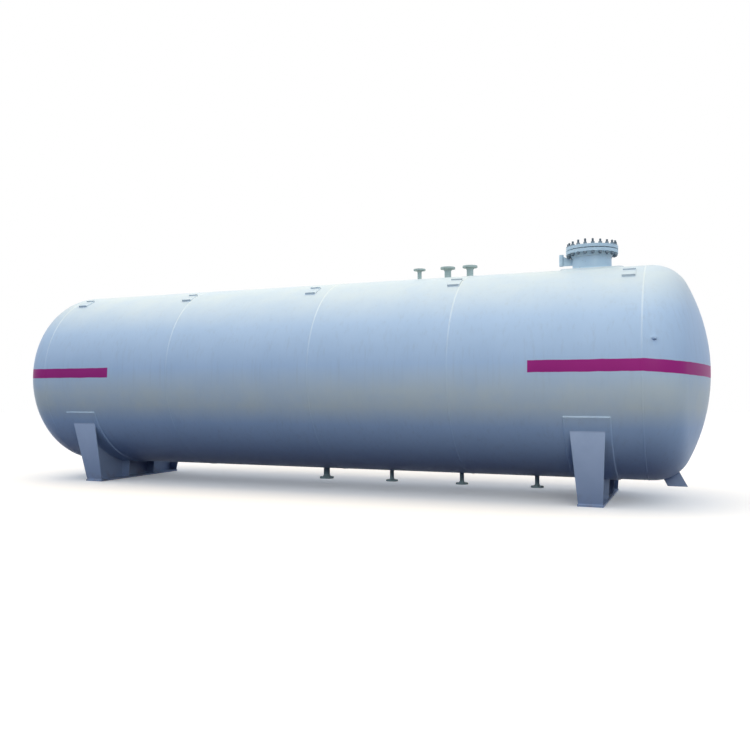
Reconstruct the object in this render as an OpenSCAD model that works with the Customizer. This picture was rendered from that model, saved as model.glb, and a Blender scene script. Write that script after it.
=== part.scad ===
// Horizontal gas storage vessel on two welded saddles.
// X runs along the vessel towards the manhole end, Y is its width, Z = 0 is the floor.

/* [Shell] */
// Inside diameter of the vessel
shell_id = 2600; // [2300:10:2800]
// Wall thickness of the shell courses and the dished ends
shell_t = 16; // [10:1:24]
// Length of a full shell course
course_l = 2200; // [2150:10:2400]
// Length of the closing course, the third from the left
closing_course_l = 1860; // [1800:10:2200]
// Height of the lowest line of the shell above the floor
shell_clearance = 250; // [220:5:350]

/* [Dished ends] */
// Straight flange between the girth weld and the knuckle
head_flange_l = 40; // [25:1:60]
// Inside radius of the crown
crown_r = 2340; // [2100:10:2600]
// Inside radius of the knuckle
knuckle_r = 442; // [360:2:500]

/* [Saddles] */
// Distance of a saddle's middle from the girth weld at its end
saddle_inset = 600; // [430:10:930]
// Angle of the shell that a saddle embraces
saddle_wrap = 117; // [110:1:130]
// Angle by which the wear pad runs past each horn
pad_overrun = 8; // [3:1:10]
// Width of the wear pad along the vessel
pad_w = 515; // [420:5:600]
// Thickness of the wear pad
pad_t = 12; // [8:1:20]
// Length of the base plate across the vessel
base_l = 1840; // [1600:10:1900]
// Width of the base plate along the vessel
base_w = 295; // [290:5:400]
// Thickness of the base plate
base_t = 24; // [16:1:32]
// Thickness of the web across the saddle
web_t = 14; // [10:1:20]
// Thickness of the ribs
rib_t = 14; // [10:1:20]
// Width of the sloping end ribs at the horn
rib_top_w = 390; // [300:5:420]
// Width of the ribs where they stand on the base plate
rib_foot_w = 280; // [240:5:290]
// Margin of base plate outside the foot of an end rib
rib_setback = 15; // [10:1:80]
// Distance of the inner ribs from the middle of the saddle
inner_rib_y = 300; // [240:5:400]
// Diameter of the anchor bolt holes
anchor_d = 28; // [22:1:36]
// Spacing of the anchor bolt holes along the vessel
anchor_pitch_x = 170; // [140:5:200]
// Spacing of the anchor bolt holes across the vessel
anchor_pitch_y = 1380; // [1200:10:1450]
// Overall length of the anchor slots of the sliding saddle
anchor_slot_l = 60; // [45:1:80]

/* [Manhole] */
// Distance of the manhole's axis from the girth weld at the right end
manhole_inset = 670; // [530:10:930]
// Outside diameter of the manhole neck
manhole_neck_od = 480; // [440:5:520]
// Wall thickness of the manhole neck
manhole_neck_t = 12; // [8:1:16]
// Height of the flange's underside above the crown of the shell
manhole_neck_h = 193; // [180:1:260]
// Outside diameter of the manhole flange and cover
manhole_flange_od = 640; // [625:5:720]
// Thickness of the manhole flange
manhole_flange_t = 40; // [30:1:60]
// Thickness of the manhole cover
manhole_cover_t = 40; // [30:1:60]
// Diameter of the hub where it meets the flange
manhole_hub_od = 524; // [520:2:540]
// Height of the tapered hub below the flange
manhole_hub_l = 46; // [30:1:60]
// Diameter of the circle of studs
manhole_stud_circle = 585; // [580:1:600]
// Number of studs
manhole_stud_n = 20; // [16:4:24]
// Diameter of the stud holes
manhole_stud_hole_d = 30; // [22:1:33]
// Outside diameter of the gasket and the two raised faces
manhole_face_od = 548; // [530:2:552]
// Height of a raised face
manhole_face_h = 3; // [2:0.5:5]
// Thickness of the gasket
manhole_gasket_t = 4; // [2:0.5:6]
// Outside diameter of the reinforcing pad round the neck
manhole_pad_od = 780; // [700:10:860]
// Thickness of the reinforcing pad
manhole_pad_t = 16; // [10:1:20]

/* [Davit socket] */
// Clear distance between the manhole flange's rim and the socket
davit_gap = 33; // [10:1:60]
// Outside diameter of the socket, a piece of pipe
davit_od = 57; // [48:1:76]
// Bore of the socket
davit_bore_d = 45; // [36:1:46]
// Length of the socket
davit_l = 145; // [110:1:160]
// Height of the socket's lower end above the crown of the shell
davit_h = 68; // [50:1:80]
// Thickness of the bracket between the socket and the manhole neck
davit_plate_t = 14; // [8:1:16]
// Depth of the bracket at the socket
davit_plate_h = 132; // [100:1:135]
// Depth of the bracket at the manhole neck
davit_root_h = 68; // [50:1:72]

/* [Small nozzles] */
// Outside diameter of the neck
small_neck_od = 57; // [48:1:62]
// Bore
small_bore_d = 47; // [38:1:47]
// Diameter of the hub where it meets the flange
small_hub_od = 80; // [68:1:84]
// Length of flange and hub together
small_hub_l = 48; // [40:1:60]
// Outside diameter of the flange
small_flange_od = 165; // [155:5:180]
// Thickness of the flange
small_flange_t = 22; // [16:1:28]
// Diameter of the raised face
small_face_od = 102; // [90:1:104]
// Diameter of the bolt circle
small_bolt_circle = 125; // [123:1:130]
// Diameter of the bolt holes
small_bolt_d = 18; // [14:1:18]
// Number of bolt holes
small_bolt_n = 4; // [4:4:8]

/* [Large nozzles] */
// Outside diameter of the neck
large_neck_od = 89; // [76:1:92]
// Bore
large_bore_d = 77; // [60:1:78]
// Diameter of the hub where it meets the flange
large_hub_od = 118; // [98:1:122]
// Length of flange and hub together
large_hub_l = 58; // [50:1:65]
// Outside diameter of the flange
large_flange_od = 200; // [185:5:220]
// Thickness of the flange
large_flange_t = 26; // [18:1:30]
// Diameter of the raised face
large_face_od = 136; // [120:1:138]
// Diameter of the bolt circle
large_bolt_circle = 160; // [158:1:165]
// Diameter of the bolt holes
large_bolt_d = 18; // [14:1:18]
// Number of bolt holes
large_bolt_n = 8; // [4:4:8]

/* [Nozzle places] */
// Distance of the small top nozzle from the closing course's right seam
top_nozzle_1_inset = 788; // [680:1:980]
// Distance of the middle top nozzle from that seam
top_nozzle_2_inset = 380; // [310:1:430]
// Distance of the third top nozzle from that seam
top_nozzle_3_inset = 68; // [65:1:90]
// Height of the top nozzles' faces above the crown of the shell
top_nozzle_h = 155; // [120:1:220]
// Distance of the first bottom nozzle to the left of the closing course
bottom_nozzle_lead = 350; // [170:10:570]
// Distance of the last bottom nozzle to the right of the closing course
bottom_nozzle_tail = 820; // [490:10:850]
// Drop of the bottom nozzles' faces below the shell
bottom_nozzle_drop = 158; // [110:1:200]
// Height of the raised faces
nozzle_face_h = 2; // [1:0.5:4]

/* [Fittings] */
// Distance of the outer cleats from the girth welds at the ends
cleat_inset = 174; // [60:1:430]
// Shift of the inner cleats to the left, clear of the girth seams
cleat_shift = 85; // [80:1:120]
// Number of cleats on each side
cleat_n = 5; // [3:2:5]
// Angle of the cleats from the crown
cleat_angle = 29; // [24:1:34]
// Length of a cleat along the vessel
cleat_l = 150; // [100:5:180]
// Width of a cleat round the vessel
cleat_w = 200; // [140:5:240]
// Height of a cleat's flanges
cleat_h = 24; // [18:1:80]
// Thickness of a cleat's web and flanges
cleat_t = 9; // [6:1:12]
// Angle of the haul lugs round the knuckle, from the vessel's side towards its axis
lug_knuckle_angle = 28; // [20:1:40]
// Width of a haul lug between its parallel edges
lug_w = 202; // [160:2:260]
// Drop of a haul lug's level foot below the lowest line of the shell
lug_drop = 68; // [40:1:100]
// Thickness of a haul lug
lug_t = 22; // [14:1:30]
// Angle of the gauge boss from the crown
boss_angle = 75; // [60:1:88]
// Angle of the gauge boss round the knuckle
boss_knuckle_angle = 11; // [5:1:30]
// Diameter of the gauge boss
boss_d = 48; // [30:1:60]
// Height of the gauge boss
boss_h = 26; // [15:1:40]
// Width across the corners of its hexagon plug
plug_w = 34; // [20:1:38]
// Height of the plug
plug_h = 14; // [8:1:20]

/* [Hidden] */
// Clearance between a piece and the curved surface it is welded to
seat_gap = 0.2;
// Extra length by which a cut runs past the surface that it cuts
over = 20;
// Angle by which the knuckle's arc runs on into its neighbours
knuckle_lap = 3;
// Sides of a preview circle, and of the large rounds on the vessel's axis
$fn = 96;
axis_fn = 720;

shell_ri = shell_id / 2;
shell_ro = shell_ri + shell_t;
axis_z = shell_clearance + shell_ro;
crown_z = axis_z + shell_ro;
course_lengths = [course_l, course_l, closing_course_l, course_l];
shell_l = 3 * course_l + closing_course_l;
shell_half = shell_l / 2;
closing_right_x = shell_half - course_l;
closing_left_x = closing_right_x - closing_course_l;
course_starts = [-shell_half, course_l - shell_half, closing_left_x, closing_right_x];
tangent_x = shell_half + head_flange_l;
saddle_x = shell_half - saddle_inset;
manhole_x = shell_half - manhole_inset;

// The crown and knuckle arcs meet on the line through their two centres.
knuckle_centre_r = shell_ri - knuckle_r;
head_join_angle = asin(knuckle_centre_r / (crown_r - knuckle_r));
crown_setback = (crown_r - knuckle_r) * cos(head_join_angle);

seat_r = shell_ro + seat_gap;
pad_ro = seat_r + pad_t;
rib_seat_r = pad_ro + seat_gap;
horn_y = rib_seat_r * sin(saddle_wrap / 2);
horn_z = axis_z - rib_seat_r * cos(saddle_wrap / 2);
rib_foot_y = base_l / 2 - rib_setback;
rib_slope = atan((horn_y - rib_foot_y) / (horn_z - base_t));
rib_l = norm([horn_y - rib_foot_y, horn_z - base_t]);
rib_cross = rib_t / cos(rib_slope);
rib_flare = (rib_top_w - rib_foot_w) / (2 * rib_l);

manhole_r = manhole_neck_od / 2;
manhole_bore_r = manhole_r - manhole_neck_t;
manhole_flange_z = crown_z + manhole_neck_h;
manhole_face_z = manhole_flange_z + manhole_flange_t + manhole_face_h;
manhole_cover_z = manhole_face_z + manhole_gasket_t;
davit_z = crown_z + davit_h;
davit_reach = manhole_flange_od / 2 + davit_gap + davit_od / 2;

// One nozzle pattern: neck, bore, hub, hub length, flange, its thickness, raised face,
// bolt circle, number of bolt holes and their diameter.
small_nozzle = [
    small_neck_od, small_bore_d, small_hub_od, small_hub_l, small_flange_od, small_flange_t,
    small_face_od, small_bolt_circle, small_bolt_n, small_bolt_d
];
large_nozzle = [
    large_neck_od, large_bore_d, large_hub_od, large_hub_l, large_flange_od, large_flange_t,
    large_face_od, large_bolt_circle, large_bolt_n, large_bolt_d
];
top_insets = [top_nozzle_1_inset, top_nozzle_2_inset, top_nozzle_3_inset];
top_places = [for (inset = top_insets) closing_right_x - inset];
top_patterns = [small_nozzle, large_nozzle, large_nozzle];
bottom_pitch = (bottom_nozzle_lead + closing_course_l + bottom_nozzle_tail) / 3;
bottom_places = [for (i = [0:3]) closing_left_x - bottom_nozzle_lead + i * bottom_pitch];
bottom_patterns = [large_nozzle, small_nozzle, small_nozzle, small_nozzle];
cleat_pitch = (shell_l - 2 * cleat_inset) / (cleat_n - 1);
cleat_places = [
    cleat_inset - shell_half,
    for (i = [1:cleat_n - 2]) cleat_inset - shell_half + i * cleat_pitch - cleat_shift,
    shell_half - cleat_inset
];

paint = "#C4CED6";
saddle_paint = "#8E9FB8";
nozzle_grey = "#8C9A98";
cover_grey = "#A9B8C6";
graphite = "#3A3D40";

// A round bar on the vessel's own axis, as long as asked and centred at x.
module axis_bar(r, l, x = 0) {
    translate([x, 0, axis_z]) rotate([0, 90, 0])
        cylinder(r = r, h = l, center = true, $fn = axis_fn);
}

// A slice of a disc between two angles.
module sector(r, from, to) {
    intersection() {
        circle(r);
        polygon([[0, 0], 2 * r * [cos(from), sin(from)], 2 * r * [cos(to), sin(to)]]);
    }
}

// Holes on a bolt circle, straddling the centre lines.
module bolt_circle(circle_d, n, hole_d, l) {
    for (i = [0:n - 1])
        rotate(360 / n * (i + 0.5))
            translate([circle_d / 2, 0, -over])
                cylinder(d = hole_d, h = l + 2 * over);
}

// Shell courses: rolled plate rings with the nozzle holes cut through.
module shell_course(i) {
    middle = course_starts[i] + course_lengths[i] / 2;
    reach = course_lengths[i] / 2;
    color(paint) difference() {
        axis_bar(shell_ro, course_lengths[i], middle);
        axis_bar(shell_ri, course_lengths[i] + 2 * over, middle);
        for (k = [0:2])
            if (abs(top_places[k] - middle) < reach)
                translate([top_places[k], 0, axis_z])
                    cylinder(d = top_patterns[k][0] + 2 * seat_gap, h = shell_ro + over);
        for (k = [0:3])
            if (abs(bottom_places[k] - middle) < reach)
                translate([bottom_places[k], 0, -over])
                    cylinder(d = bottom_patterns[k][0] + 2 * seat_gap, h = axis_z);
        if (abs(manhole_x - middle) < reach)
            translate([manhole_x, 0, axis_z])
                cylinder(r = manhole_r + seat_gap, h = shell_ro + over);
    }
}

module shell_course_1() { shell_course(0); }
module shell_course_2() { shell_course(1); }
module shell_course_3() { shell_course(2); }
module shell_course_4() { shell_course(3); }

// Half section of a dished end, filled to a given offset from its inside face.
module head_fill(grow) {
    join = 90 - head_join_angle;
    intersection() {
        union() {
            translate([0, -crown_setback]) sector(crown_r + grow, join, 90);
            translate([knuckle_centre_r, 0])
                sector(knuckle_r + grow, -knuckle_lap, join + knuckle_lap);
            translate([0, -head_flange_l]) square([shell_ri + grow, head_flange_l]);
        }
        translate([0, -head_flange_l]) square([shell_id, shell_id]);
    }
}

// The solid of a dished end at a given offset from its inside face.
module head_solid(grow) {
    translate([tangent_x, 0, axis_z]) rotate([0, 90, 0]) rotate_extrude($fn = axis_fn) head_fill(grow);
}

// Dished ends: a spherical crown, a toroidal knuckle and a straight flange.
module dished_end() {
    translate([tangent_x, 0, axis_z]) rotate([0, 90, 0]) rotate_extrude($fn = axis_fn)
        difference() {
            head_fill(shell_t);
            head_fill(0);
        }
}

module right_head() { color(paint) dished_end(); }
module left_head() { color(paint) mirror([1, 0, 0]) dished_end(); }

// Wear pads: rolled doubler plates between the shell and a saddle.
module wear_pad(x) {
    span = saddle_wrap + 2 * pad_overrun;
    color(paint)
        translate([x, 0, axis_z]) rotate([0, 90, 0]) rotate(-span / 2)
            rotate_extrude(angle = span, $fn = axis_fn)
                translate([seat_r, -pad_w / 2]) square([pad_t, pad_w]);
}

// A round hole, or a slot along the vessel where the length exceeds the diameter.
module anchor_hole(l) {
    travel = l - anchor_d;
    for (s = [-1, 1])
        translate([s * travel / 2, 0, -over]) cylinder(d = anchor_d, h = base_t + 2 * over);
    if (travel > 0)
        translate([-travel / 2, -anchor_d / 2, -over]) cube([travel, anchor_d, base_t + 2 * over]);
}

module base_plate(x, hole_l) {
    color(saddle_paint) translate([x, 0, 0]) difference() {
        translate([-base_w / 2, -base_l / 2, 0]) cube([base_w, base_l, base_t]);
        for (sx = [-1, 1], sy = [-1, 1])
            translate([sx * anchor_pitch_x / 2, sy * anchor_pitch_y / 2, 0]) anchor_hole(hole_l);
    }
}

// Web: the plate across the saddle, hollowed to the wear pad and closed by the end ribs.
module saddle_web(x) {
    foot = rib_foot_y - rib_cross;
    horn = horn_y - rib_cross;
    color(saddle_paint) difference() {
        translate([x - web_t / 2, 0, 0]) rotate([90, 0, 90]) linear_extrude(web_t)
            polygon([[-foot, base_t], [foot, base_t], [horn, horn_z], [-horn, horn_z]]);
        axis_bar(rib_seat_r, pad_w, x);
    }
}

// One sloping end rib, flared upwards and cut to the base plate and the wear pad.
module end_rib() {
    tail = rib_t * tan(abs(rib_slope)) + over;
    half_tail = rib_foot_w / 2 - rib_flare * tail;
    difference() {
        translate([0, rib_foot_y, base_t]) rotate([90 - rib_slope, 0, 0]) linear_extrude(rib_t)
            polygon([
                [-half_tail, -tail], [half_tail, -tail],
                [rib_top_w / 2, rib_l], [-rib_top_w / 2, rib_l]
            ]);
        axis_bar(rib_seat_r, pad_w);
        translate([-rib_top_w, 0, base_t - base_l]) cube([2 * rib_top_w, base_l, base_l]);
    }
}

module end_ribs(x) {
    color(saddle_paint) translate([x, 0, 0]) {
        end_rib();
        mirror([0, 1, 0]) end_rib();
    }
}

// Inner ribs: four short stiffeners beside the web, flared like the end ribs.
module inner_ribs(x) {
    color(saddle_paint) difference() {
        for (sx = [0, 1], y = [-inner_rib_y, inner_rib_y])
            translate([x, y + rib_t / 2, 0]) mirror([sx, 0, 0]) rotate([90, 0, 0])
                linear_extrude(rib_t) polygon([
                    [web_t / 2, base_t], [rib_foot_w / 2, base_t],
                    [rib_top_w / 2, horn_z], [web_t / 2, horn_z]
                ]);
        axis_bar(rib_seat_r, pad_w, x);
    }
}

module left_wear_pad() { wear_pad(-saddle_x); }
module left_base_plate() { base_plate(-saddle_x, anchor_d); }
module left_web() { saddle_web(-saddle_x); }
module left_end_ribs() { end_ribs(-saddle_x); }
module left_inner_ribs() { inner_ribs(-saddle_x); }
module right_wear_pad() { wear_pad(saddle_x); }
module right_base_plate() { base_plate(saddle_x, anchor_slot_l); }
module right_web() { saddle_web(saddle_x); }
module right_end_ribs() { end_ribs(saddle_x); }
module right_inner_ribs() { inner_ribs(saddle_x); }

// Manhole: reinforcing pad, neck, weld-neck flange, gasket and blank cover.
module manhole_pad() {
    color(paint) difference() {
        intersection() {
            axis_bar(seat_r + manhole_pad_t, 2 * manhole_pad_od, manhole_x);
            translate([manhole_x, 0, axis_z]) cylinder(d = manhole_pad_od, h = 2 * shell_ro);
        }
        axis_bar(seat_r, 3 * manhole_pad_od, manhole_x);
        translate([manhole_x, 0, axis_z]) cylinder(r = manhole_r + seat_gap, h = 2 * shell_ro);
    }
}

module manhole_neck() {
    neck_top = manhole_flange_z - manhole_hub_l;
    color(cover_grey) difference() {
        translate([manhole_x, 0, axis_z]) cylinder(r = manhole_r, h = neck_top - axis_z);
        translate([manhole_x, 0, axis_z - over]) cylinder(r = manhole_bore_r, h = 2 * shell_ro);
        axis_bar(shell_ri, 2 * manhole_neck_od, manhole_x);
    }
}

module manhole_flange() {
    rim = manhole_flange_od / 2;
    color(cover_grey) translate([manhole_x, 0, manhole_flange_z]) difference() {
        rotate_extrude() polygon([
            [manhole_bore_r, -manhole_hub_l],
            [manhole_r, -manhole_hub_l],
            [manhole_hub_od / 2, 0],
            [rim, 0],
            [rim, manhole_flange_t],
            [manhole_face_od / 2, manhole_flange_t],
            [manhole_face_od / 2, manhole_flange_t + manhole_face_h],
            [manhole_bore_r, manhole_flange_t + manhole_face_h]
        ]);
        bolt_circle(manhole_stud_circle, manhole_stud_n, manhole_stud_hole_d, manhole_flange_t);
    }
}

module manhole_gasket() {
    color(graphite) translate([manhole_x, 0, manhole_face_z]) difference() {
        cylinder(d = manhole_face_od, h = manhole_gasket_t);
        translate([0, 0, -over]) cylinder(r = manhole_r, h = manhole_gasket_t + 2 * over);
    }
}

module manhole_cover() {
    color(cover_grey) translate([manhole_x, 0, manhole_cover_z]) difference() {
        union() {
            cylinder(d = manhole_face_od, h = manhole_face_h);
            translate([0, 0, manhole_face_h]) cylinder(d = manhole_flange_od, h = manhole_cover_t);
        }
        bolt_circle(manhole_stud_circle, manhole_stud_n, manhole_stud_hole_d, manhole_cover_t);
    }
}

// A flanged nozzle with its face at z = 0 and its neck running down.
module nozzle(p, l) {
    bore_r = p[1] / 2;
    neck_r = p[0] / 2;
    rim = p[4] / 2;
    thick = p[5];
    face_r = p[6] / 2;
    difference() {
        rotate_extrude() polygon([
            [bore_r, 0],
            [face_r, 0],
            [face_r, -nozzle_face_h],
            [rim, -nozzle_face_h],
            [rim, -thick],
            [p[2] / 2, -thick],
            [neck_r, -p[3]],
            [neck_r, -l],
            [bore_r, -l]
        ]);
        translate([0, 0, -thick]) bolt_circle(p[7], p[8], p[9], thick);
    }
}

// Davit socket: an open pipe beside the flange's rim, to take the post that swings the cover.
module davit_socket() {
    color(cover_grey) translate([manhole_x - davit_reach, 0, davit_z]) difference() {
        cylinder(d = davit_od, h = davit_l);
        translate([0, 0, -over]) cylinder(d = davit_bore_d, h = davit_l + 2 * over);
    }
}

// Its bracket: an upright plate between two studs, deeper at the socket than at the neck.
module davit_bracket() {
    color(cover_grey) difference() {
        translate([manhole_x, davit_plate_t / 2, davit_z]) rotate([90, 0, 0])
            linear_extrude(davit_plate_t) polygon([
                [-davit_reach, 0], [-manhole_bore_r, 0],
                [-manhole_bore_r, davit_root_h], [-davit_reach, davit_plate_h]
            ]);
        translate([manhole_x, 0, axis_z]) cylinder(r = manhole_r + seat_gap, h = 2 * shell_ro);
        translate([manhole_x - davit_reach, 0, davit_z - over])
            cylinder(d = davit_od + 2 * seat_gap, h = davit_l + 2 * over);
    }
}

// Nozzles on the crown and under the belly, cut flush with the inside of the shell.
module top_nozzle(k) {
    color(nozzle_grey) difference() {
        translate([top_places[k], 0, crown_z + top_nozzle_h])
            nozzle(top_patterns[k], top_nozzle_h + shell_t + over);
        axis_bar(shell_ri, 2 * top_patterns[k][4], top_places[k]);
    }
}

module bottom_nozzle(k) {
    color(nozzle_grey) difference() {
        translate([bottom_places[k], 0, shell_clearance - bottom_nozzle_drop])
            rotate([180, 0, 0])
                nozzle(bottom_patterns[k], bottom_nozzle_drop + shell_t + over);
        axis_bar(shell_ri, 2 * bottom_patterns[k][4], bottom_places[k]);
    }
}

module top_nozzle_1() { top_nozzle(0); }
module top_nozzle_2() { top_nozzle(1); }
module top_nozzle_3() { top_nozzle(2); }
module bottom_nozzle_1() { bottom_nozzle(0); }
module bottom_nozzle_2() { bottom_nozzle(1); }
module bottom_nozzle_3() { bottom_nozzle(2); }
module bottom_nozzle_4() { bottom_nozzle(3); }

// Channel cleats: their flanges stand up and their feet are cut to the shell.
module cleats(side) {
    half = cleat_w / 2;
    sink = shell_ro * (1 - cos(asin(half / shell_ro))) + over;
    color(paint) difference() {
        for (x = cleat_places)
            translate([x - cleat_l / 2, 0, axis_z]) rotate([side * cleat_angle, 0, 0])
                translate([0, 0, seat_r]) rotate([90, 0, 90]) linear_extrude(cleat_l)
                    polygon([
                        [-half, -sink], [-half, cleat_h],
                        [cleat_t - half, cleat_h], [cleat_t - half, cleat_t],
                        [half - cleat_t, cleat_t], [half - cleat_t, cleat_h],
                        [half, cleat_h], [half, -sink]
                    ]);
        axis_bar(seat_r, 2 * tangent_x);
    }
}

module front_cleats() { cleats(1); }
module rear_cleats() { cleats(-1); }

// Haul lugs: plain plates that stand square to the knuckles and end in a level foot.
module haul_lug() {
    difference() {
        translate([tangent_x, lug_t / 2, axis_z - knuckle_centre_r])
            rotate([90, 90 - lug_knuckle_angle, 0]) linear_extrude(lug_t)
                translate([knuckle_r + shell_t - over, -lug_w / 2]) square([2 * lug_w, lug_w]);
        head_solid(shell_t + seat_gap);
        translate([tangent_x, -shell_ri, shell_clearance - lug_drop - shell_id])
            cube([shell_id, shell_id, shell_id]);
    }
}

module right_haul_lug() { color(saddle_paint) haul_lug(); }
module left_haul_lug() { color(saddle_paint) mirror([1, 0, 0]) haul_lug(); }

// Gauge boss: a half coupling on the knuckle with a hexagon plug.
module gauge_boss() {
    color(nozzle_grey) difference() {
        translate([tangent_x, 0, axis_z]) rotate([boss_angle, 0, 0])
            translate([0, 0, knuckle_centre_r]) rotate([0, boss_knuckle_angle, 0])
                translate([0, 0, knuckle_r + shell_t - over]) {
                    cylinder(d = boss_d, h = boss_h + over);
                    cylinder(d = plug_w, h = boss_h + plug_h + over, $fn = 6);
                }
        head_solid(shell_t + seat_gap);
    }
}

shell_course_1();
shell_course_2();
shell_course_3();
shell_course_4();
left_head();
right_head();
left_wear_pad();
left_base_plate();
left_web();
left_end_ribs();
left_inner_ribs();
right_wear_pad();
right_base_plate();
right_web();
right_end_ribs();
right_inner_ribs();
manhole_pad();
manhole_neck();
manhole_flange();
manhole_gasket();
manhole_cover();
davit_socket();
davit_bracket();
top_nozzle_1();
top_nozzle_2();
top_nozzle_3();
bottom_nozzle_1();
bottom_nozzle_2();
bottom_nozzle_3();
bottom_nozzle_4();
front_cleats();
rear_cleats();
left_haul_lug();
right_haul_lug();
gauge_boss();
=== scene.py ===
import math

import bmesh
import bpy
from mathutils import Matrix, Vector


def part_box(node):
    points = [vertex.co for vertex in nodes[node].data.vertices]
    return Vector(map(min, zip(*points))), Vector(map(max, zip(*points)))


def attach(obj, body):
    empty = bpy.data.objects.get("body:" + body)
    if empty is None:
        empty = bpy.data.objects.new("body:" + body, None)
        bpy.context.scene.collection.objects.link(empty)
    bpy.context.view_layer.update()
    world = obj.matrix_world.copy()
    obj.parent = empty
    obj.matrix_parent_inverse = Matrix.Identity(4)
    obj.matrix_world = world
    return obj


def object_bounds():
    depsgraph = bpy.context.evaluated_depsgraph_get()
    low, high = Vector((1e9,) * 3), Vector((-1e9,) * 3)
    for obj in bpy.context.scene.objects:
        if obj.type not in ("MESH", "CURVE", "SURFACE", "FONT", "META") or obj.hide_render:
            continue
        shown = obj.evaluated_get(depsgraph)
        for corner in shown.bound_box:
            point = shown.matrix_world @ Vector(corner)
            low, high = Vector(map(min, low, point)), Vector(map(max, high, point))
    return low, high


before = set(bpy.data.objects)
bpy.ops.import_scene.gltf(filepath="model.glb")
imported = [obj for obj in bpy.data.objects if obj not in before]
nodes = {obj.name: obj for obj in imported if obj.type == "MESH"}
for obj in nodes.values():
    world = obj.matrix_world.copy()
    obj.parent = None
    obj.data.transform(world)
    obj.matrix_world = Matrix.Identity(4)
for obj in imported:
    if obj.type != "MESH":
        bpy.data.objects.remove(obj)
cad_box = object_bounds()

# Viewpoint. A standing person's eye height, about ten metres in front of the
# manhole end, looking a little to the left along the vessel.
eye = (4.782, -10.156, 1.266)
eye_yaw = math.radians(22.51)
eye_pitch = math.radians(1.62)
eye_lens = 37.34
eye_sensor = 36
eye_reach = 300

camera_data = bpy.data.cameras.new("viewpoint")
camera_data.lens = eye_lens
camera_data.sensor_width = eye_sensor
camera_data.clip_end = eye_reach
camera = bpy.data.objects.new("viewpoint", camera_data)
camera.location = eye
camera.rotation_euler = (math.pi / 2 + eye_pitch, 0, eye_yaw)
bpy.context.scene.collection.objects.link(camera)
bpy.context.scene.camera = camera

# Shell courses, dished ends, pads, cleats and gauge boss. Rolled and pressed steel
# plate, welded up, blasted and sprayed with aluminium-pigmented enamel. A band of
# coloured enamel, masked by hand, runs round each end and sags a little on the right.
course_names = [f"shell_course_{i}" for i in (1, 2, 3, 4)]
head_names = ["left_head", "right_head"]
pad_names = ["left_wear_pad", "right_wear_pad", "manhole_pad"]
cleat_names = ["front_cleats", "rear_cleats"]
enamelled_names = course_names + head_names + pad_names + cleat_names + ["gauge_boss"]
shell_low, shell_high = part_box("shell_course_1")
shell_r = (shell_high.z - shell_low.z) / 2
axis_z = (shell_low.z + shell_high.z) / 2
stripe_low = axis_z - 0.019
stripe_high = axis_z + 0.119
stripe_left_end = -3.045
stripe_right_end = 2.992
mask_edge = 0.003
mask_wander = 0.012
mask_wander_l = 0.18
mask_sag = 0.055
mask_sag_from = 4.25
spray_cloud = 0.55
spray_roughness = (0.36, 0.48)
rain_streak = (0.05, 0.05, 1.6)
streak_noise = (0.52, 0.8)
streak_cover = 0.22
# Heights and cover of the painted reflection on the lower flank and the painted highlight on
# the crown.
painted_sheen_heights = [(0.25, 0), (0.34, 0.7), (0.41, 0.66), (0.54, 0), (0.74, 0), (0.9, 0.46)]
crown_painted_highlight = 0.56
sheen_drift_noise = (0.36, 0.64)
sheen_drift_share = (0.82, 1.18)
plate_wave = 0.6
plate_wave_h = 0.01
plate_wave_strength = 0.6
orange_peel = 0.008
orange_peel_h = 0.001
orange_peel_strength = 0.08


def linear(hex_colour):
    """A colour written as sRGB hex, as linear values with full alpha."""
    values = [int(hex_colour[i:i + 2], 16) / 255 for i in (1, 3, 5)]
    return (*[v / 12.92 if v <= 0.04045 else ((v + 0.055) / 1.055) ** 2.4 for v in values], 1)


def add_node(tree, kind, inputs=None, **settings):
    """Adds a node, sets its properties, and fills or links its inputs."""
    node = tree.nodes.new(kind)
    for name, value in settings.items():
        setattr(node, name, value)
    for socket, value in (inputs or {}).items():
        if isinstance(value, bpy.types.NodeSocket):
            tree.links.new(value, node.inputs[socket])
        else:
            node.inputs[socket].default_value = value
    return node


def new_material(name):
    """An empty node material: itself, its tree, its shader and its object coordinates."""
    material = bpy.data.materials.new(name)
    material.use_nodes = True
    tree = material.node_tree
    shader = next(n for n in tree.nodes if n.type == "BSDF_PRINCIPLED")
    return material, tree, shader, add_node(tree, "ShaderNodeTexCoord").outputs["Object"]


def paint_nodes(names, material):
    """Gives carried-over solids their material."""
    for name in names:
        nodes[name].data.materials.clear()
        nodes[name].data.materials.append(material)


# Aluminium-pigmented enamel: a pale blue-grey silver, semi-glossy, a little cloudy
# where spray passes overlap, with faint rain streaks down the side and slow waves
# where the plate was rolled. A pale painted highlight lies over the crown and a pale
# painted reflection of lit ground lies along the lower flank. The band is the same
# enamel with a purple pigment.
silver_enamel, tree, shader, where = new_material("silver_enamel")
cloud = add_node(tree, "ShaderNodeTexNoise",
                 {"Vector": where, "Scale": 1 / spray_cloud, "Detail": 4, "Roughness": 0.6})
silver = add_node(tree, "ShaderNodeMix",
                  {"Factor": cloud.outputs["Fac"], 6: linear("#B1C5DB"), 7: linear("#BFD1E5")},
                  data_type="RGBA")
stretch = add_node(tree, "ShaderNodeMapping",
                   {"Vector": where, "Scale": [1 / s for s in rain_streak]})
streak = add_node(tree, "ShaderNodeTexNoise",
                  {"Vector": stretch.outputs[0], "Scale": 1, "Detail": 5, "Roughness": 0.65})
streak_mask = add_node(tree, "ShaderNodeMapRange",
                       {"Value": streak.outputs["Fac"], "From Min": streak_noise[0],
                        "From Max": streak_noise[1], "To Max": streak_cover})
weathered = add_node(tree, "ShaderNodeMix",
                     {"Factor": streak_mask.outputs[0], 6: silver.outputs[2],
                      7: linear("#96999B")}, data_type="RGBA")
place = add_node(tree, "ShaderNodeSeparateXYZ", {"Vector": where})
up_shell = add_node(tree, "ShaderNodeMapRange",
                    {"Value": place.outputs["Z"], "From Min": shell_low.z,
                     "From Max": shell_high.z})
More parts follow.
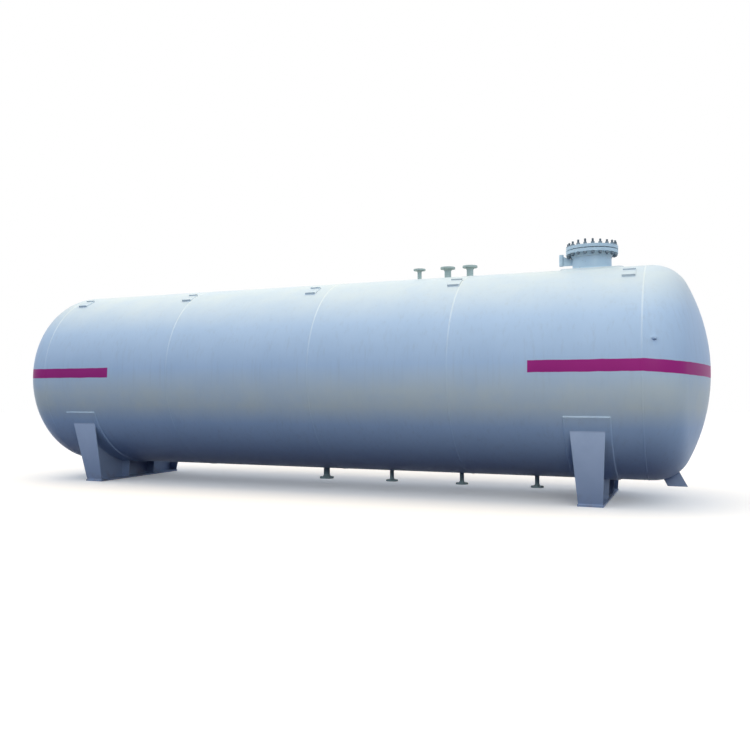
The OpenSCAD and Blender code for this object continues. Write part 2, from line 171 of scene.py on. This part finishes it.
# Painted highlight over the crown and painted reflection of lit ground along the lower flank,
# set by height on the shell.
painted_sheen_by_height = add_node(tree, "ShaderNodeValToRGB", {"Fac": up_shell.outputs[0]})
painted_sheen_by_height.color_ramp.elements[1].color = (crown_painted_highlight, crown_painted_highlight, crown_painted_highlight, 1)
for share, cover in painted_sheen_heights:
    painted_sheen_by_height.color_ramp.elements.new(share).color = (cover, cover, cover, 1)
# Breaks the painted highlight and reflection into patches.
painted_sheen_drift = add_node(tree, "ShaderNodeMapRange",
                      {"Value": cloud.outputs["Fac"], "From Min": sheen_drift_noise[0],
                       "From Max": sheen_drift_noise[1], "To Min": sheen_drift_share[0],
                       "To Max": sheen_drift_share[1]})
painted_sheen = add_node(tree, "ShaderNodeMath", {0: painted_sheen_by_height.outputs[0], 1: painted_sheen_drift.outputs[0]},
                operation="MULTIPLY")
# Mixes the pale painted highlight and reflection into the enamel.
sheened_enamel = add_node(tree, "ShaderNodeMix",
                  {"Factor": painted_sheen.outputs[0], 6: weathered.outputs[2], 7: linear("#D9DACE")},
                  data_type="RGBA")
wander = add_node(tree, "ShaderNodeTexNoise",
                  {"Vector": where, "Scale": 1 / mask_wander_l, "Detail": 2})
sag = add_node(tree, "ShaderNodeMapRange",
               {"Value": place.outputs["X"], "From Min": mask_sag_from,
                "From Max": cad_box[1].x, "To Max": mask_sag})
level = add_node(tree, "ShaderNodeMath", {0: place.outputs["Z"], 1: sag.outputs[0]})
height = add_node(tree, "ShaderNodeMath",
                  {0: wander.outputs["Fac"], 1: mask_wander, 2: level.outputs[0]},
                  operation="MULTIPLY_ADD")
stripe_middle = (stripe_low + stripe_high + mask_wander) / 2
stripe_half = (stripe_high - stripe_low) / 2
from_middle = add_node(tree, "ShaderNodeMath", {0: height.outputs[0], 1: stripe_middle},
                       operation="SUBTRACT")
off_middle = add_node(tree, "ShaderNodeMath", {0: from_middle.outputs[0]},
                      operation="ABSOLUTE")
in_band = add_node(tree, "ShaderNodeMapRange",
                   {"Value": off_middle.outputs[0], "From Min": stripe_half - mask_edge,
                    "From Max": stripe_half + mask_edge, "To Min": 1, "To Max": 0})
at_right = add_node(tree, "ShaderNodeMapRange",
                    {"Value": place.outputs["X"], "From Min": stripe_right_end - mask_edge,
                     "From Max": stripe_right_end + mask_edge})
at_left = add_node(tree, "ShaderNodeMapRange",
                   {"Value": place.outputs["X"], "From Min": stripe_left_end - mask_edge,
                    "From Max": stripe_left_end + mask_edge, "To Min": 1, "To Max": 0})
at_end = add_node(tree, "ShaderNodeMath", {0: at_right.outputs[0], 1: at_left.outputs[0]},
                  operation="MAXIMUM")
stripe_mask = add_node(tree, "ShaderNodeMath", {0: in_band.outputs[0], 1: at_end.outputs[0]},
                       operation="MULTIPLY")
stripe_tone = add_node(tree, "ShaderNodeMix",
                       {"Factor": cloud.outputs["Fac"], 6: linear("#A02574"),
                        7: linear("#B42D84")}, data_type="RGBA")
coat = add_node(tree, "ShaderNodeMix",
                {"Factor": stripe_mask.outputs[0], 6: sheened_enamel.outputs[2],
                 7: stripe_tone.outputs[2]}, data_type="RGBA")
tree.links.new(coat.outputs[2], shader.inputs["Base Color"])
gloss = add_node(tree, "ShaderNodeMapRange",
                 {"Value": cloud.outputs["Fac"], "To Min": spray_roughness[0],
                  "To Max": spray_roughness[1]})
tree.links.new(gloss.outputs[0], shader.inputs["Roughness"])
shader.inputs["Specular IOR Level"].default_value = 0.12
wave = add_node(tree, "ShaderNodeTexNoise",
                {"Vector": where, "Scale": 1 / plate_wave, "Detail": 1})
ripple = add_node(tree, "ShaderNodeBump",
                  {"Height": wave.outputs["Fac"], "Strength": plate_wave_strength,
                   "Distance": plate_wave_h})
peel = add_node(tree, "ShaderNodeTexNoise",
                {"Vector": where, "Scale": 1 / orange_peel, "Detail": 2})
skinned = add_node(tree, "ShaderNodeBump",
                   {"Height": peel.outputs["Fac"], "Strength": orange_peel_strength,
                    "Distance": orange_peel_h, "Normal": ripple.outputs[0]})
tree.links.new(skinned.outputs[0], shader.inputs["Normal"])
paint_nodes(enamelled_names, silver_enamel)

# Seam welds. Submerged-arc butt welds between the courses, at the dished ends and
# along each course behind, left as low rounded caps under the enamel.
cap_w = 0.022
cap_h = 0.004
cap_steps = 180
cap_profile = [(-1, -0.25), (-0.6, 0.7), (0, 1), (0.6, 0.7), (1, -0.25)]
long_seam_angles = [-52, -66, -52, -66]
# Height at which the painted glint on the seams is full.
glint_top_z = axis_z + 0.7 * shell_r
glint_cover = 0.75
along = Vector((1, 0, 0))
axis_point = Vector((0, 0, axis_z))


def outward(degrees):
    """The direction out from the vessel's axis, at an angle from its crown to the front."""
    turn = math.radians(degrees)
    return Vector((0, -math.sin(turn), math.cos(turn)))


def around(degrees):
    """The direction round the vessel there, away from the crown on the front."""
    turn = math.radians(degrees)
    return Vector((0, -math.cos(turn), -math.sin(turn)))


def cap_section(middle, across, out):
    """Section of a butt weld's cap, its edges just sunk in the plate."""
    return [middle + across * (cap_w / 2 * u) + out * (cap_h * v) for u, v in cap_profile]


def ring_bead(bm, section, centre, axis, steps):
    """Spins a section once round an axis."""
    corners = [bm.verts.new(p) for p in section]
    edges = [bm.edges.new(pair) for pair in zip(corners, corners[1:] + corners[:1])]
    bmesh.ops.spin(bm, geom=corners + edges, cent=centre, axis=axis, angle=math.tau,
                   steps=steps, use_merge=True)


def straight_bead(bm, section, run):
    """Extrudes a section along a run."""
    face = bm.faces.new([bm.verts.new(p) for p in section])
    moved = bmesh.ops.extrude_face_region(bm, geom=[face])["geom"]
    bmesh.ops.translate(bm, verts=[v for v in moved if isinstance(v, bmesh.types.BMVert)],
                        vec=run)


def piece(name, bm, material, sharp=50):
    """Makes a finished mesh an object that rides with the vessel."""
    bmesh.ops.remove_doubles(bm, verts=bm.verts, dist=1e-6)
    bmesh.ops.recalc_face_normals(bm, faces=bm.faces)
    mesh = bpy.data.meshes.new(name)
    bm.to_mesh(mesh)
    bm.free()
    mesh.shade_smooth()
    mesh.set_sharp_from_angle(angle=math.radians(sharp))
    mesh.materials.append(material)
    made = bpy.data.objects.new(name, mesh)
    bpy.context.scene.collection.objects.link(made)
    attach(made, "root")


# Seam enamel: the same enamel with a painted glint along the seams, paler
# towards the crown.
glinting_seam_enamel = silver_enamel.copy()
glinting_seam_enamel.name = "glinting_seam_enamel"
tree = glinting_seam_enamel.node_tree
# Painted glint: grows paler from the axis up towards the crown.
seam_painted_glint = add_node(tree, "ShaderNodeMapRange",
                    {"Value": tree.nodes[place.name].outputs["Z"], "From Min": axis_z,
                     "From Max": glint_top_z, "To Max": glint_cover})
glinted_seams = add_node(tree, "ShaderNodeMix",
                   {"Factor": seam_painted_glint.outputs[0], 6: tree.nodes[silver.name].outputs[2],
                    7: linear("#E4ECF3")}, data_type="RGBA")
tree.links.new(glinted_seams.outputs[2], tree.nodes[weathered.name].inputs[6])

seam_beads = bmesh.new()
seam_xs = [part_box(name)[0].x for name in course_names] + [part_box(course_names[-1])[1].x]
for x in seam_xs:
    crown = axis_point + along * x + outward(0) * shell_r
    ring_bead(seam_beads, cap_section(crown, along, outward(0)), axis_point, along, cap_steps)
for name, degrees in zip(course_names, long_seam_angles):
    low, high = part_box(name)
    start = axis_point + along * low.x + outward(degrees) * shell_r
    straight_bead(seam_beads, cap_section(start, around(degrees), outward(degrees)),
                  along * (high.x - low.x))
piece("seam_welds", seam_beads, glinting_seam_enamel, sharp=80)

# Saddles and haul lugs. Flame-cut steel plates, welded up and brushed with a
# bluer enamel, darkened towards the ground by painted shade, with rust in spots at the feet.
sides = ("left", "right")
saddle_parts = ("base_plate", "web", "end_ribs", "inner_ribs", "haul_lug")
saddle_names = [f"{side}_{part}" for side in sides for part in saddle_parts]
brush_patch = 0.2
painted_shade_h = 0.9
painted_shade_cover = 0.75
foot_rust_h = 0.16
foot_rust_cover = 0.8
rust_noise = (0.5, 0.7)
mill_grain = 0.03
mill_depth = 0.002
mill_strength = 0.25

# Brushed enamel: a pale blue-grey, patchy at the width of a brush and darkened to slate
# blue near the ground by painted shade, with the grain of hot-rolled plate under it.
saddle_enamel, tree, shader, where = new_material("saddle_enamel")
patch = add_node(tree, "ShaderNodeTexNoise",
                 {"Vector": where, "Scale": 1 / brush_patch, "Detail": 6, "Roughness": 0.65})
brushed = add_node(tree, "ShaderNodeMix",
                   {"Factor": patch.outputs["Fac"], 6: linear("#C0CBDD"),
                    7: linear("#D7E0EF")}, data_type="RGBA")
place = add_node(tree, "ShaderNodeSeparateXYZ", {"Vector": where})
# Painted shade: darker towards the ground, fading out at the height given.
painted_shade_ramp = add_node(tree, "ShaderNodeMapRange",
                   {"Value": place.outputs["Z"], "From Max": painted_shade_h, "To Min": painted_shade_cover,
                    "To Max": 0})
painted_shade_mix = add_node(tree, "ShaderNodeMix",
                  {"Factor": painted_shade_ramp.outputs[0], 6: brushed.outputs[2], 7: linear("#6E7D9C")},
                  data_type="RGBA")
near_floor = add_node(tree, "ShaderNodeMapRange",
                      {"Value": place.outputs["Z"], "From Max": foot_rust_h,
                       "To Min": foot_rust_cover, "To Max": 0})
rust_spots = add_node(tree, "ShaderNodeMapRange",
                      {"Value": patch.outputs["Fac"], "From Min": rust_noise[0],
                       "From Max": rust_noise[1]})
rust = add_node(tree, "ShaderNodeMath", {0: near_floor.outputs[0], 1: rust_spots.outputs[0]},
                operation="MULTIPLY")
rusted = add_node(tree, "ShaderNodeMix",
                  {"Factor": rust.outputs[0], 6: painted_shade_mix.outputs[2], 7: linear("#7A685C")},
                  data_type="RGBA")
tree.links.new(rusted.outputs[2], shader.inputs["Base Color"])
shader.inputs["Roughness"].default_value = 0.5
shader.inputs["Specular IOR Level"].default_value = 0.25
mill = add_node(tree, "ShaderNodeTexNoise",
                {"Vector": where, "Scale": 1 / mill_grain, "Detail": 3})
grain = add_node(tree, "ShaderNodeBump",
                 {"Height": mill.outputs["Fac"], "Strength": mill_strength,
                  "Distance": mill_depth})
tree.links.new(grain.outputs[0], shader.inputs["Normal"])
paint_nodes(saddle_names, saddle_enamel)

# Pad and cleat welds. Hand-laid fillets round the wear pads, the manhole pad and the
# gauge boss and along the feet of the cleats, sprayed over with the shell.
fillet_sink = 0.2
fillet_belly = 0.6
pad_leg = 0.011
pad_half_angle = 66.5
pad_steps = 64
manhole_leg = 0.012
cleat_leg = 0.007
cleat_angle = 29
cleat_half = 0.1
cleat_l = 0.15
cleat_xs = [-4.056, -2.113, -0.085, 1.943, 4.056]
head_flange_l = 0.04
knuckle_centre_r = 0.858
knuckle_outer_r = 0.458
boss_turn = math.radians(75)
boss_lean = math.radians(11)
boss_r = 0.024
boss_leg = 0.006
boss_steps = 32
upward = Vector((0, 0, 1))


def fillet_section(corner, one, other, leg):
    """Section of a fillet in a corner: its legs along two directions, its root just sunk."""
    sink = fillet_sink * leg
    return [corner - (one + other) * sink, corner + one * leg - other * sink,
            corner + (one + other) * (fillet_belly * leg), corner + other * leg - one * sink]


def pipe_bead(bm, x, pipe_r, surface_r, leg, up=1, count=72):
    """A fillet where an upright pipe meets a round on the vessel's axis: bridged rings."""
    section = [(-fillet_sink, -fillet_sink), (1, -fillet_sink), (fillet_belly, fillet_belly),
               (-fillet_sink, 1)]
    rings = []
    for grow, lift in section:
        made = bmesh.ops.create_circle(bm, segments=count, radius=pipe_r + grow * leg)["verts"]
        for v in made:
            rise = math.sqrt(surface_r ** 2 - v.co.y ** 2) + lift * leg
            v.co = (x + v.co.x, v.co.y, axis_z + up * rise)
        rings.append(list({e for v in made for e in v.link_edges}))
    for one, other in zip(rings, rings[1:] + rings[:1]):
        bmesh.ops.bridge_loops(bm, edges=one + other)


pad_beads = bmesh.new()
for side in sides:
    low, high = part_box(f"{side}_wear_pad")
    for x, way in ((low.x, -along), (high.x, along)):
        start = 180 - pad_half_angle
        corner = axis_point + along * x + outward(start) * shell_r
        section = fillet_section(corner, way, outward(start), pad_leg)
        face = pad_beads.faces.new([pad_beads.verts.new(p) for p in section])
        bmesh.ops.spin(pad_beads, geom=[face], cent=axis_point, axis=along,
                       angle=math.radians(2 * pad_half_angle), steps=pad_steps)
    for edge, away in ((180 - pad_half_angle, -1), (180 + pad_half_angle, 1)):
        corner = axis_point + along * low.x + outward(edge) * shell_r
        section = fillet_section(corner, around(edge) * away, outward(edge), pad_leg)
        straight_bead(pad_beads, section, along * (high.x - low.x))
low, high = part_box("manhole_pad")
manhole_x = (low.x + high.x) / 2
pipe_bead(pad_beads, manhole_x, (high.x - low.x) / 2, shell_r, manhole_leg)
cleat_half_angle = math.degrees(math.asin(cleat_half / shell_r))
for front in (1, -1):
    for x in cleat_xs:
        for away in (-1, 1):
            edge = front * cleat_angle + away * cleat_half_angle
            corner = axis_point + along * (x - cleat_l / 2) + outward(edge) * shell_r
            section = fillet_section(corner, around(edge) * away,
                                     outward(front * cleat_angle), cleat_leg)
            straight_bead(pad_beads, section, along * cleat_l)
tangent_x = seam_xs[-1] + head_flange_l
to_side = Matrix.Rotation(boss_turn, 3, "X")
boss_axis = to_side @ Matrix.Rotation(boss_lean, 3, "Y") @ upward
boss_foot = (Vector((tangent_x, 0, axis_z)) + to_side @ (upward * knuckle_centre_r)
             + boss_axis * knuckle_outer_r)
boss_side = boss_axis.orthogonal().normalized()
section = fillet_section(boss_foot + boss_side * boss_r, boss_side, boss_axis, boss_leg)
ring_bead(pad_beads, section, boss_foot, boss_axis, boss_steps)
piece("pad_welds", pad_beads, silver_enamel)

# Saddle welds. Fillets at the horns, along the feet of the end ribs and webs, and
# down both faces of the haul lugs, brushed over with the plates.
plate_leg = 0.009
horn_angle = 58.5
foot_margin = 0.015
rib_top_half = 0.195
web_foot_margin = 0.04
lug_angle = 28
lug_half_angle = 12.6
lug_steps = 12
saddle_beads = bmesh.new()
for side in sides:
    pad_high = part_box(f"{side}_wear_pad")[1]
    pad_r = pad_high.y / math.sin(math.radians(pad_half_angle))
    base_low, base_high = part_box(f"{side}_base_plate")
    web_low, web_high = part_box(f"{side}_web")
    middle = along * ((base_low.x + base_high.x) / 2)
    foot_half = (base_high.x - base_low.x) / 2 - foot_margin / 2
    for front in (-1, 1):
        across = Vector((0, front, 0))
        horn = 180 + front * horn_angle
        horn_point = axis_point + middle + outward(horn) * pad_r
        foot_point = middle + across * (base_high.y - foot_margin) + upward * base_high.z
        rise = (horn_point - foot_point).normalized()
        section = fillet_section(foot_point - along * foot_half, across, rise, plate_leg)
        straight_bead(saddle_beads, section, along * (2 * foot_half))
        section = fillet_section(horn_point - along * rib_top_half, around(horn) * front,
                                 -rise, plate_leg)
        straight_bead(saddle_beads, section, along * (2 * rib_top_half))
    for x, way in ((web_low.x, -along), (web_high.x, along)):
        start = Vector((x, base_low.y + web_foot_margin, base_high.z))
        straight_bead(saddle_beads, fillet_section(start, way, upward, plate_leg),
                      Vector((0, base_high.y - base_low.y - 2 * web_foot_margin, 0)))
for side, way in (("left", -1), ("right", 1)):
    low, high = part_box(f"{side}_haul_lug")
    centre = Vector((way * tangent_x, 0, axis_z - knuckle_centre_r))
    start = math.radians(lug_angle - lug_half_angle)
    out = Vector((way * math.sin(start), 0, -math.cos(start)))
    for y in (low.y, high.y):
        corner = centre + out * knuckle_outer_r + Vector((0, y, 0))
        section = fillet_section(corner, Vector((0, math.copysign(1, y), 0)), out, plate_leg)
        face = saddle_beads.faces.new([saddle_beads.verts.new(p) for p in section])
        bmesh.ops.spin(saddle_beads, geom=[face], cent=centre, axis=(0, -way, 0),
                       angle=math.radians(2 * lug_half_angle), steps=lug_steps)
piece("saddle_welds", saddle_beads, saddle_enamel)

# Manhole and davit socket. A pipe neck, a forged weld-neck flange and a turned
# blank cover, with the socket of a cover davit beside them, in the shell's enamel
# sprayed thinner, so that it chips and freckles with rust.
manhole_names = ["manhole_neck", "manhole_flange", "manhole_cover", "davit_socket",
                 "davit_bracket"]
worn_patch = 0.12
chip = 0.02
chip_noise = (0.66, 0.72)
chip_cover = 0.55
turned_depth = 0.002
turned_strength = 0.2

# Thin enamel on machined steel: a greyer silver than the shell's, with small chips.
manhole_enamel, tree, shader, where = new_material("manhole_enamel")
worn = add_node(tree, "ShaderNodeTexNoise",
                {"Vector": where, "Scale": 1 / worn_patch, "Detail": 6, "Roughness": 0.7})
tone = add_node(tree, "ShaderNodeMix",
                {"Factor": worn.outputs["Fac"], 6: linear("#AEC4D3"), 7: linear("#C5D7E1")},
                data_type="RGBA")
chips = add_node(tree, "ShaderNodeTexNoise",
                 {"Vector": where, "Scale": 1 / chip, "Detail": 3, "Roughness": 0.6})
chipped = add_node(tree, "ShaderNodeMapRange",
                   {"Value": chips.outputs["Fac"], "From Min": chip_noise[0],
                    "From Max": chip_noise[1], "To Max": chip_cover})
bared = add_node(tree, "ShaderNodeMix",
                 {"Factor": chipped.outputs[0], 6: tone.outputs[2], 7: linear("#746A66")},
                 data_type="RGBA")
tree.links.new(bared.outputs[2], shader.inputs["Base Color"])
shader.inputs["Roughness"].default_value = 0.42
shader.inputs["Specular IOR Level"].default_value = 0.3
turned = add_node(tree, "ShaderNodeBump",
                  {"Height": worn.outputs["Fac"], "Strength": turned_strength,
                   "Distance": turned_depth})
tree.links.new(turned.outputs[0], shader.inputs["Normal"])
paint_nodes(manhole_names, manhole_enamel)

# Manhole studs. Twenty M27 full-thread studs through flange and cover, with a
# hexagon nut at both ends of each, phosphated and oiled, run in to uneven heights.
stud_n = 20
stud_circle_r = 0.2925
stud_r = 0.0135
stud_steps = 14
stud_below = 0.012
stud_above = 0.036
stud_uneven = 0.007
stud_uneven_step = 7.3
thread_pitch = 0.003
thread_depth = 0.0018
nut_r = 0.0235
nut_h = 0.024
nut_chamfer = 0.004
upper_nut_twist = 2.4
lower_nut_twist = 1.7
oil_patch = 0.03
oil_roughness = (0.4, 0.6)
joint_t = 0.09
cover_top_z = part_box("manhole_cover")[1].z
flange_under_z = cover_top_z - joint_t
root_r = stud_r - thread_depth
studs = bmesh.new()
for i in range(stud_n):
    turn = math.tau * (i + 0.5) / stud_n
    foot = Vector((manhole_x + stud_circle_r * math.cos(turn),
                   stud_circle_r * math.sin(turn), 0))
    shift = stud_uneven * math.sin(stud_uneven_step * i)
    bottom = flange_under_z - nut_h - stud_below + shift
    top = cover_top_z + nut_h + stud_above + shift
    flank = [(0, bottom), (root_r, bottom)]
    for k in range(int((top - bottom) / thread_pitch)):
        flank.append((stud_r, bottom + (k + 0.5) * thread_pitch))
        flank.append((root_r, bottom + (k + 1) * thread_pitch))
    flank += [(root_r, top), (0, top)]
    line = [studs.verts.new(foot + Vector((r, 0, z))) for r, z in flank]
    edges = [studs.edges.new(pair) for pair in zip(line, line[1:])]
    bmesh.ops.spin(studs, geom=line + edges, cent=foot, axis=upward, angle=math.tau,
                   steps=stud_steps, use_merge=True)
    for z, twist in ((cover_top_z, upper_nut_twist * i),
                     (flange_under_z - nut_h, lower_nut_twist * i)):
        middle = Matrix.Translation(foot + upward * (z + nut_h / 2))
        nut = bmesh.ops.create_cone(studs, cap_ends=True, segments=6, radius1=nut_r,
                                    radius2=nut_r, depth=nut_h,
                                    matrix=middle @ Matrix.Rotation(twist, 4, "Z"))
        bmesh.ops.bevel(studs, geom=nut["verts"], offset=nut_chamfer, segments=1, profile=0.5,
                        affect="VERTICES", material=-1)

# Phosphated steel: a dull slate grey, partly metallic, blotched where the oil dried.
phosphated_steel, tree, shader, where = new_material("phosphated_steel")
blotch = add_node(tree, "ShaderNodeTexNoise",
                  {"Vector": where, "Scale": 1 / oil_patch, "Detail": 4})
oiled = add_node(tree, "ShaderNodeMix",
                 {"Factor": blotch.outputs["Fac"], 6: linear("#62707C"), 7: linear("#8A98A3")},
                 data_type="RGBA")
tree.links.new(oiled.outputs[2], shader.inputs["Base Color"])
shader.inputs["Metallic"].default_value = 0.4
shine = add_node(tree, "ShaderNodeMapRange",
                 {"Value": blotch.outputs["Fac"], "To Min": oil_roughness[0],
                  "To Max": oil_roughness[1]})
tree.links.new(shine.outputs[0], shader.inputs["Roughness"])
piece("manhole_studs", studs, phosphated_steel, sharp=30)

# Manhole welds. Fillets between pad and neck, and up both sides of the davit
# bracket, under the same enamel.
bracket_leg = 0.008
bracket_root_h = 0.066
pad_t = 0.016
neck_low, neck_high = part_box("manhole_neck")
socket_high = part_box("davit_socket")[1]
bracket_low, bracket_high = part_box("davit_bracket")
neck_r = (neck_high.x - neck_low.x) / 2
manhole_beads = bmesh.new()
pipe_bead(manhole_beads, manhole_x, neck_r, shell_r + pad_t, manhole_leg)
for y in (bracket_low.y, bracket_high.y):
    across = Vector((0, math.copysign(1, y), 0))
    at_neck = Vector((manhole_x - neck_r, y, bracket_low.z))
    straight_bead(manhole_beads, fillet_section(at_neck, -along, across, bracket_leg),
                  upward * bracket_root_h)
    at_socket = Vector((socket_high.x, y, bracket_low.z))
    straight_bead(manhole_beads, fillet_section(at_socket, along, across, bracket_leg),
                  upward * (bracket_high.z - bracket_low.z - bracket_leg))
piece("manhole_welds", manhole_beads, manhole_enamel)

# Gasket. Graphite sheet pressed between the two raised faces.
# It is matt and dark, with the faint mottle of pressed flake.
graphite_flake = 0.01
graphite_sheet, tree, shader, where = new_material("graphite_sheet")
flake = add_node(tree, "ShaderNodeTexNoise",
                 {"Vector": where, "Scale": 1 / graphite_flake, "Detail": 3})
pressed = add_node(tree, "ShaderNodeMix",
                   {"Factor": flake.outputs["Fac"], 6: linear("#2F3235"),
                    7: linear("#44474A")}, data_type="RGBA")
tree.links.new(pressed.outputs[2], shader.inputs["Base Color"])
shader.inputs["Roughness"].default_value = 0.7
paint_nodes(["manhole_gasket"], graphite_sheet)

# Nozzles. Weld-neck flanges on short pipes, set into the shell and left in shop
# primer, with their faces open.
top_nozzle_names = [f"top_nozzle_{i}" for i in (1, 2, 3)]
bottom_nozzle_names = [f"bottom_nozzle_{i}" for i in (1, 2, 3, 4)]
nozzle_names = top_nozzle_names + bottom_nozzle_names
primer_patch = 0.06
rust_freckle = 0.015
freckle_noise = (0.62, 0.72)
freckle_cover = 0.5

# Shop primer: a matt grey-green, dusty in patches and freckled with rust.
grey_primer, tree, shader, where = new_material("grey_primer")
dusty = add_node(tree, "ShaderNodeTexNoise",
                 {"Vector": where, "Scale": 1 / primer_patch, "Detail": 6, "Roughness": 0.7})
tone = add_node(tree, "ShaderNodeMix",
                {"Factor": dusty.outputs["Fac"], 6: linear("#98A8A3"), 7: linear("#B8C6C1")},
                data_type="RGBA")
freckle = add_node(tree, "ShaderNodeTexNoise",
                   {"Vector": where, "Scale": 1 / rust_freckle, "Detail": 3,
                    "Roughness": 0.6})
freckled = add_node(tree, "ShaderNodeMapRange",
                    {"Value": freckle.outputs["Fac"], "From Min": freckle_noise[0],
                     "From Max": freckle_noise[1], "To Max": freckle_cover})
rusted = add_node(tree, "ShaderNodeMix",
                  {"Factor": freckled.outputs[0], 6: tone.outputs[2], 7: linear("#75604F")},
                  data_type="RGBA")
tree.links.new(rusted.outputs[2], shader.inputs["Base Color"])
shader.inputs["Roughness"].default_value = 0.6
shader.inputs["Specular IOR Level"].default_value = 0.3
paint_nodes(nozzle_names, grey_primer)

# Nozzle welds. Set-in welds finished with a fillet on the outside of the shell and
# brushed over with primer.
nozzle_leg = 0.009
nozzle_steps = 40
small_pipe_r = 0.0285
large_pipe_r = 0.0445
large_flange_w = 0.18
nozzle_beads = bmesh.new()
for name in nozzle_names:
    low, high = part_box(name)
    pipe_r = large_pipe_r if high.x - low.x > large_flange_w else small_pipe_r
    pipe_bead(nozzle_beads, (low.x + high.x) / 2, pipe_r, shell_r, nozzle_leg,
              up=1 if name in top_nozzle_names else -1, count=nozzle_steps)
piece("nozzle_welds", nozzle_beads, grey_primer)

# Floor. A plain pale sheet that takes the vessel's shadow, dark to bounced light so
# that the belly keeps its shade, and faintly lit where it is seen, so that its far
# edge runs into the backdrop.
floor_r = 60
floor_steps = 96
floor_glow = 0.14
floor_mesh = bpy.data.meshes.new("floor")
sheet = bmesh.new()
bmesh.ops.create_circle(sheet, cap_ends=True, segments=floor_steps, radius=floor_r)
sheet.to_mesh(floor_mesh)
sheet.free()
floor = bpy.data.objects.new("floor", floor_mesh)
bpy.context.scene.collection.objects.link(floor)


def seen_rays(tree):
    """One for rays that show the backdrop: straight, mirrored or through glass."""
    ray = add_node(tree, "ShaderNodeLightPath")
    seen = add_node(tree, "ShaderNodeMath",
                    {0: ray.outputs["Is Camera Ray"], 1: ray.outputs["Is Glossy Ray"]},
                    operation="MAXIMUM")
    return add_node(tree, "ShaderNodeMath",
                    {0: seen.outputs[0], 1: ray.outputs["Is Transmission Ray"]},
                    operation="MAXIMUM").outputs[0]


# Floor paint: a warm white where it is seen and a deep blue to the light it throws back.
floor_paint, tree, shader, where = new_material("floor_paint")
shows = seen_rays(tree)
floor_tone = add_node(tree, "ShaderNodeMix",
                      {"Factor": shows, 6: linear("#101C48"), 7: linear("#FFF5EC")},
                      data_type="RGBA")
tree.links.new(floor_tone.outputs[2], shader.inputs["Base Color"])
glow = add_node(tree, "ShaderNodeMath", {0: shows, 1: floor_glow}, operation="MULTIPLY")
tree.links.new(glow.outputs[0], shader.inputs["Emission Strength"])
shader.inputs["Emission Color"].default_value = (1, 1, 1, 1)
shader.inputs["Roughness"].default_value = 0.9
shader.inputs["Specular IOR Level"].default_value = 0
floor.data.materials.append(floor_paint)

# Light. A wide soft box overhead, a lower one off the manhole end, and a soft sky,
# bluest at mid height and dim at the horizon, seen as white behind the vessel.
overhead_place = (-1.6, -1, 9)
overhead_aim = (-1.6, -1, 0)
overhead_size = (14, 6)
overhead_power = 355
overhead_colour = (1, 0.9, 0.68)
end_place = (6.4, -8, 3.8)
end_aim = (4, -1, 1.4)
end_size = (3, 2)
end_power = 105
end_colour = (1, 0.98, 0.82)
horizon_light = (0.03, 0.05, 0.12, 1)
band_light = (1.2, 1.57, 2.03, 1)
zenith_light = (0.79, 0.69, 0.53, 1)
backdrop_light = (1, 1, 1, 1)
horizon_fade = (0.12, 0.4)
zenith_fade = (0.45, 0.9)


def softbox(name, place, aim, size, power, colour):
    """A rectangular lamp at a place, turned to a point."""
    lamp = bpy.data.lights.new(name, "AREA")
    lamp.shape = "RECTANGLE"
    lamp.size, lamp.size_y = size
    lamp.energy = power
    lamp.color = colour
    held = bpy.data.objects.new(name, lamp)
    held.location = place
    held.rotation_euler = (Vector(aim) - Vector(place)).to_track_quat("-Z", "Y").to_euler()
    held.visible_camera = False
    bpy.context.scene.collection.objects.link(held)


softbox("overhead_softbox", overhead_place, overhead_aim, overhead_size, overhead_power,
        overhead_colour)
softbox("end_softbox", end_place, end_aim, end_size, end_power, end_colour)

world = bpy.data.worlds.new("studio")
bpy.context.scene.world = world
world.use_nodes = True
tree = world.node_tree
background = next(n for n in tree.nodes if n.type == "BACKGROUND")
direction = add_node(tree, "ShaderNodeTexCoord").outputs["Generated"]
lift = add_node(tree, "ShaderNodeSeparateXYZ", {"Vector": direction}).outputs["Z"]
off_horizon = add_node(tree, "ShaderNodeMapRange",
                       {"Value": lift, "From Min": horizon_fade[0],
                        "From Max": horizon_fade[1]})
near_zenith = add_node(tree, "ShaderNodeMapRange",
                       {"Value": lift, "From Min": zenith_fade[0],
                        "From Max": zenith_fade[1]})
low_sky = add_node(tree, "ShaderNodeMix",
                   {"Factor": off_horizon.outputs[0], 6: horizon_light, 7: band_light},
                   data_type="RGBA")
sky = add_node(tree, "ShaderNodeMix",
               {"Factor": near_zenith.outputs[0], 6: low_sky.outputs[2], 7: zenith_light},
               data_type="RGBA")
shown = add_node(tree, "ShaderNodeMix",
                 {"Factor": seen_rays(tree), 6: sky.outputs[2], 7: backdrop_light},
                 data_type="RGBA")
tree.links.new(shown.outputs[2], background.inputs["Color"])

bpy.context.scene.view_settings.view_transform = "Standard"
